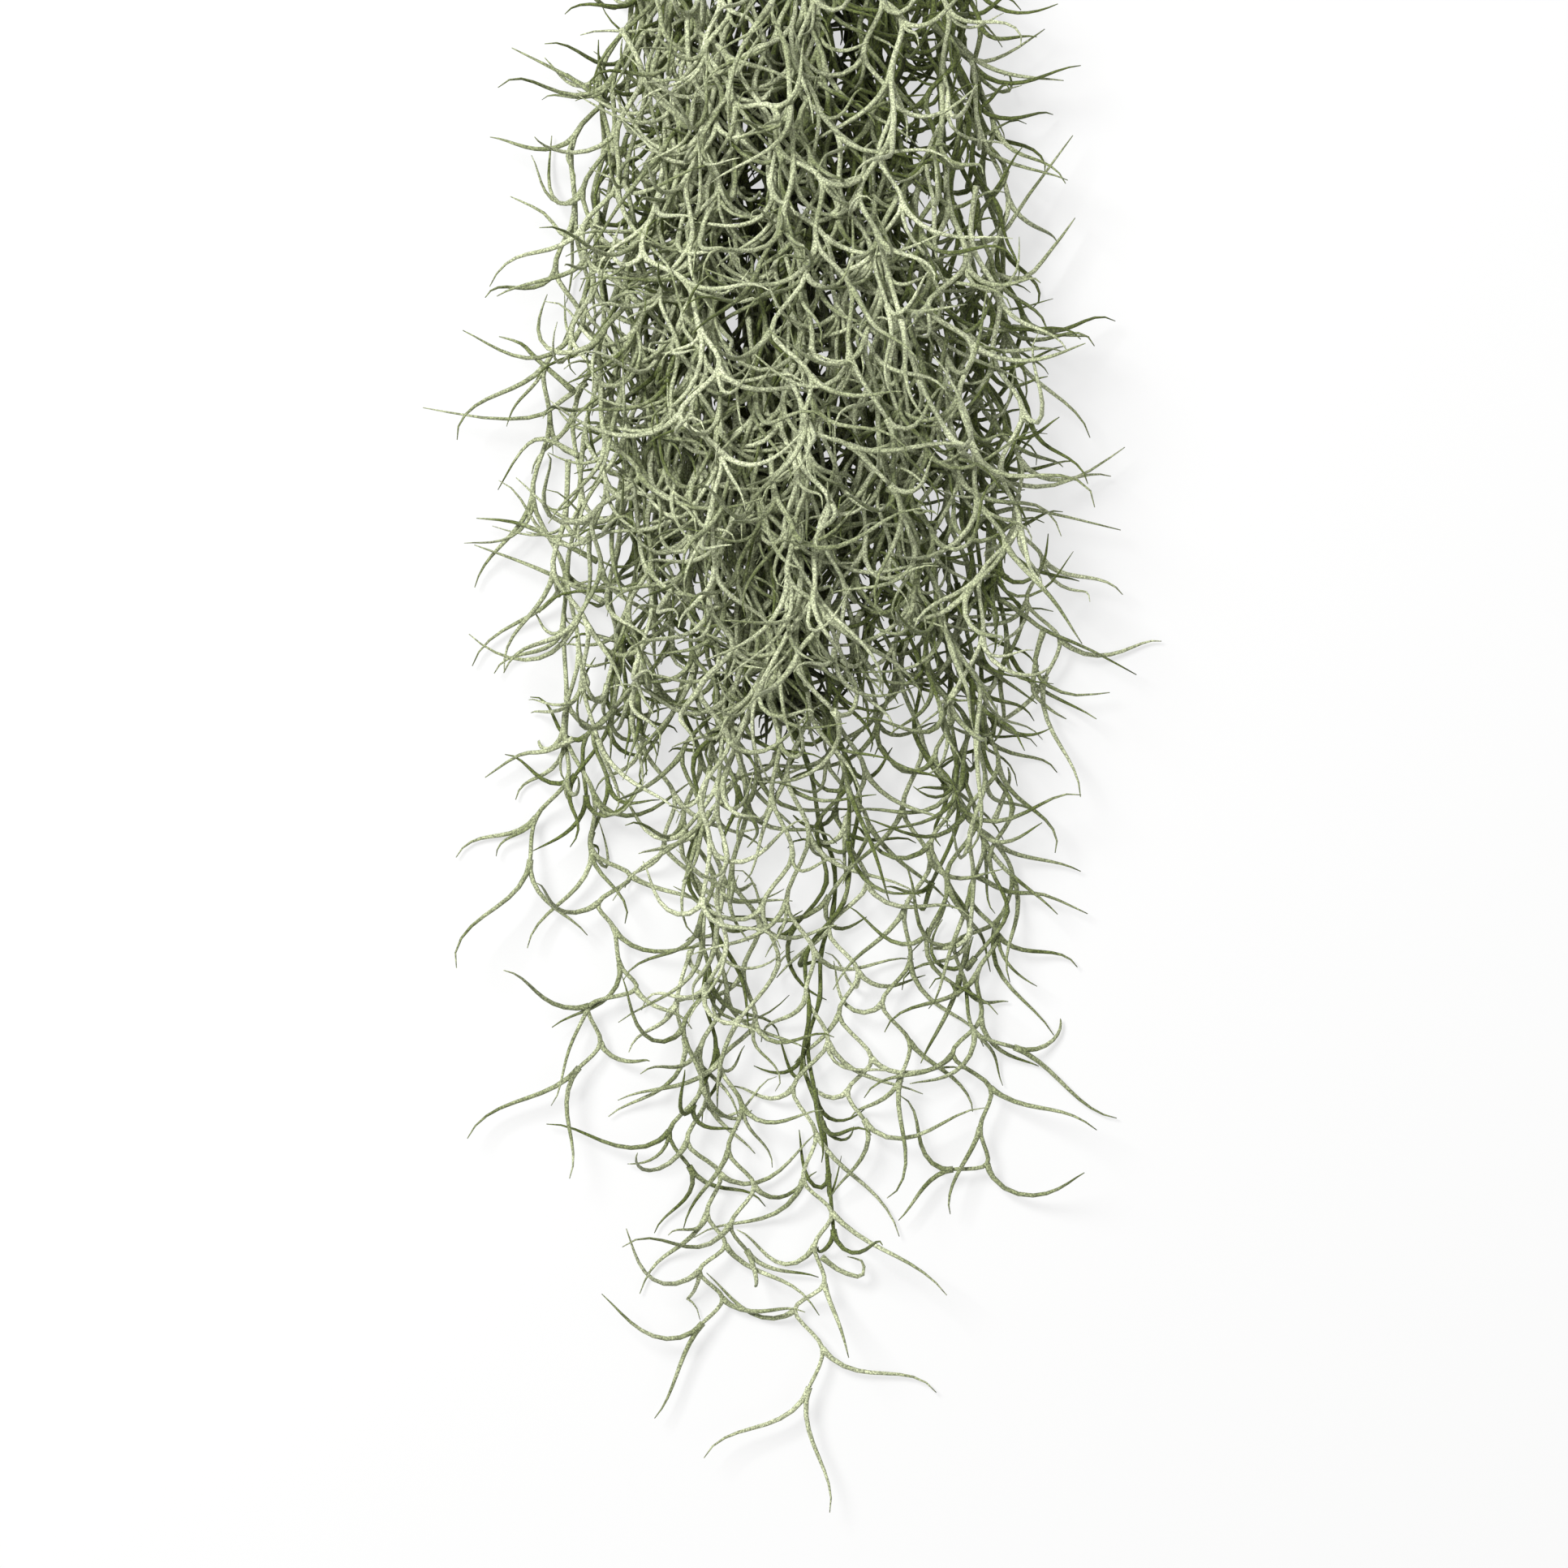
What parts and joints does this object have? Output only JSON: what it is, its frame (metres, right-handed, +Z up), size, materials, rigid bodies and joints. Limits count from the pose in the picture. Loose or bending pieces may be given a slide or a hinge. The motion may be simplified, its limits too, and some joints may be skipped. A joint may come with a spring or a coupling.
{
  "type": "spanish moss bunch",
  "caption": "Hanging moss picked as a long loose bunch of zigzag strands with thread-like leaves, lying on a surface.",
  "frame": {"origin": "middle of the bunch in plan, on the surface it lies on", "axes": "+Y along the bunch towards its head, +Z up from the surface"},
  "size_m": [0.1941, 0.4698, 0.0682],
  "materials": {
    "moss": "matte",
    "old_moss": "matte"
  },
  "bodies": {
    "root": {"matted_heart": "old_moss", "strand_cover_01": "moss", "strand_cover_02": "moss", "strand_cover_03": "moss", "strand_cover_04": "moss", "strand_cover_05": "moss", "strand_cover_06": "moss", "strand_cover_07": "moss", "strand_cover_08": "moss", "strand_cover_09": "moss", "strand_cover_10": "moss", "strand_cover_11": "moss", "strand_cover_13": "moss", "strand_cover_14": "moss", "strand_cover_15": "moss", "strand_far_right": "moss", "strand_left_inner": "moss", "strand_left_long": "moss", "strand_left_outer": "moss", "strand_left_tail": "moss", "strand_long_tail": "moss", "strand_mid_left": "moss", "strand_mid_right": "moss", "strand_mid_tail": "moss", "strand_right_inner": "moss", "strand_right_outer": "moss", "strand_right_tail": "moss"}
  },
  "joints": []
}
